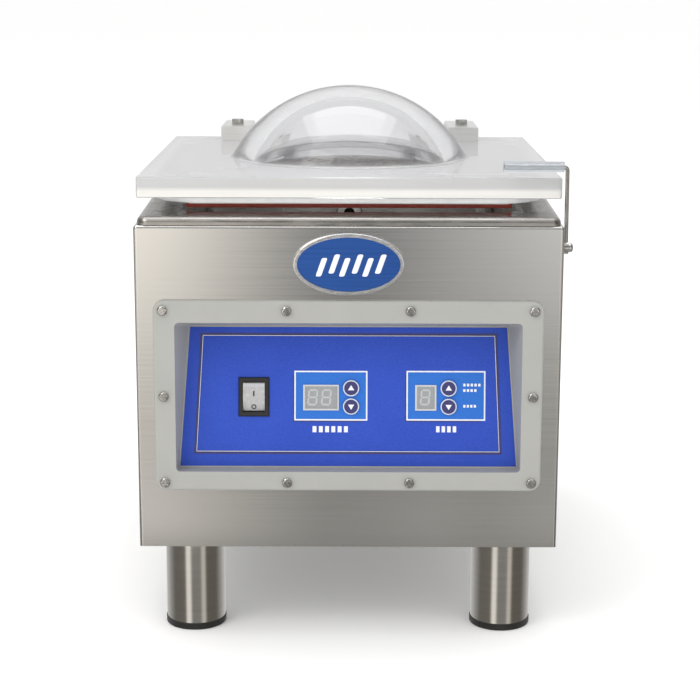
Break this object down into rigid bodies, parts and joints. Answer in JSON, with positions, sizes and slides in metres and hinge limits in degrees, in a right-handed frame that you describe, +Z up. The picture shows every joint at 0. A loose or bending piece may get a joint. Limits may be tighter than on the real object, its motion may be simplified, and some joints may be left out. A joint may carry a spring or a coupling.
{
  "type": "vacuum chamber sealer",
  "caption": "Tabletop vacuum chamber sealer with a clear domed hinged lid, a lifting seal bar, a wire lid hook and a recessed control panel.",
  "frame": {"origin": "centre of the box's bottom face, on the floor the feet stand on", "axes": "+X across the machine to its right as seen from the front, +Y from the control panel to the back, +Z up"},
  "size_m": [0.3646, 0.4896, 0.4559],
  "materials": {
    "housing_steel": "brushed sheet with a fine horizontal grain",
    "sheet_steel": "plain mill sheet",
    "leg_steel": "satin tube",
    "chamber_steel": "polished deep-drawn stainless steel",
    "screw_steel": "plated, glossy",
    "piston_steel": "ground",
    "hook_steel": "bright wire",
    "spring_steel": "oiled wire",
    "port_metal": "turned",
    "foot_rubber": "black, moulded",
    "filler_plastic": "white, satin",
    "cylinder_aluminium": "turned",
    "bar_aluminium": "bright extruded",
    "heater_alloy": "flat heating band",
    "seal_tape": "brown non-stick cloth",
    "clear_acrylic": "clear, polished",
    "gasket_silicone": "white silicone",
    "red_silicone": "red silicone",
    "arm_aluminium": "bright milled",
    "black_plastic": "black",
    "clear_tube": "bluish clear vinyl",
    "bezel_plastic": "warm light grey, satin",
    "panel_blue": "printed film",
    "display_grey": "unlit display window",
    "button_navy": "printed film",
    "rocker_plastic": "milky clear",
    "board_green": "coated board",
    "badge_silver": "bright rim",
    "badge_blue": "blue brushed disc",
    "pump_iron": "grey paint on a casting",
    "motor_paint": "dark grey paint",
    "fan_plastic": "black",
    "sight_glass": "clear window over oil",
    "filter_paint": "grey paint",
    "core_iron": "varnished laminations",
    "hose_rubber": "black hose"
  },
  "bodies": {
    "body": {"badge_face": "badge_blue", "badge_rim": "badge_silver", "base_bolt": "screw_steel", "base_plate": "sheet_steel", "bezel_screws": "screw_steel", "chamber": "chamber_steel", "control_bezel": "bezel_plastic", "control_board": "board_green", "control_panel": "panel_blue", "exhaust_filter": "filter_paint", "fan_cover": "black_plastic", "filler_plate": "filler_plastic", "foot_caps": "foot_rubber", "hinge_pillows": "arm_aluminium", "hinge_shaft": "piston_steel", "hook_screw": "screw_steel", "housing": "housing_steel", "leg_bolts": "screw_steel", "legs": "leg_steel", "lid_springs": "spring_steel", "lid_switch": "black_plastic", "lift_cylinders": "cylinder_aluminium", "mains_inlet": "black_plastic", "oil_sight_glass": "sight_glass", "pillow_screws": "screw_steel", "port_nut": "port_metal", "pump_motor": "motor_paint", "rear_panel": "housing_steel", "rear_screws": "screw_steel", "seal_display": "display_grey", "spring_anchor": "sheet_steel", "switch_frame": "black_plastic", "transformer": "core_iron", "vacuum_display": "display_grey", "vacuum_hose": "hose_rubber", "vacuum_port": "port_metal", "vacuum_pump": "pump_iron", "valve": "black_plastic"},
    "lid": {"lid": "clear_acrylic", "lid_gasket": "gasket_silicone", "counter_bar": "bar_aluminium", "counter_pad": "red_silicone", "hinge_arm_left": "arm_aluminium", "hinge_arm_right": "arm_aluminium", "arm_bolts": "screw_steel", "arm_nuts": "screw_steel", "spring_pins": "screw_steel"},
    "seal": {"seal_bar": "bar_aluminium", "heater_band": "heater_alloy", "seal_cover": "seal_tape", "lift_pistons": "piston_steel"},
    "hook": {"hook": "hook_steel", "hook_sleeve": "clear_tube"},
    "rocker": {"rocker": "rocker_plastic"},
    "vacuum_up": {"button_vacuum_up": "button_navy"},
    "vacuum_down": {"button_vacuum_down": "button_navy"},
    "seal_up": {"button_seal_up": "button_navy"},
    "seal_down": {"button_seal_down": "button_navy"},
    "fan": {"motor_fan": "fan_plastic", "motor_shaft": "piston_steel"}
  },
  "joints": [
    {"name": "lid_hinge", "type": "hinge", "parent": "body", "child": "lid", "pos_m": [-0.0044, 0.1602, 0.374], "axis": [-1, 0, 0], "range_deg": [-1.4, 45], "deforming": ["lid_springs"]},
    {"name": "seal_lift", "type": "slide", "parent": "body", "child": "seal", "axis": [0, 0, 1], "range_m": [0, 0.008]},
    {"name": "hook_swing", "type": "hinge", "parent": "body", "child": "hook", "pos_m": [0.1764, -0.2218, 0.3372], "axis": [1, 0, 0], "range_deg": [-43, 135]},
    {"name": "rocker_tilt", "type": "hinge", "parent": "body", "child": "rocker", "pos_m": [-0.0848, -0.21468, 0.20645], "axis": [-1, 0, 0], "range_deg": [0, 18]},
    {"name": "press_vacuum_up", "type": "slide", "parent": "body", "child": "vacuum_up", "axis": [0, 0.9827, -0.1851], "range_m": [0, 0.0008], "stiffness_N_per_m": 900, "springref_m": -0.0005},
    {"name": "press_vacuum_down", "type": "slide", "parent": "body", "child": "vacuum_down", "axis": [0, 0.9827, -0.1851], "range_m": [0, 0.0008], "stiffness_N_per_m": 900, "springref_m": -0.0005},
    {"name": "press_seal_up", "type": "slide", "parent": "body", "child": "seal_up", "axis": [0, 0.9827, -0.1851], "range_m": [0, 0.0008], "stiffness_N_per_m": 900, "springref_m": -0.0005},
    {"name": "press_seal_down", "type": "slide", "parent": "body", "child": "seal_down", "axis": [0, 0.9827, -0.1851], "range_m": [0, 0.0008], "stiffness_N_per_m": 900, "springref_m": -0.0005},
    {"name": "fan_spin", "type": "hinge", "parent": "body", "child": "fan", "pos_m": [0.11, 0.0532, 0.162], "axis": [1, 0, 0], "continuous": true}
  ]
}
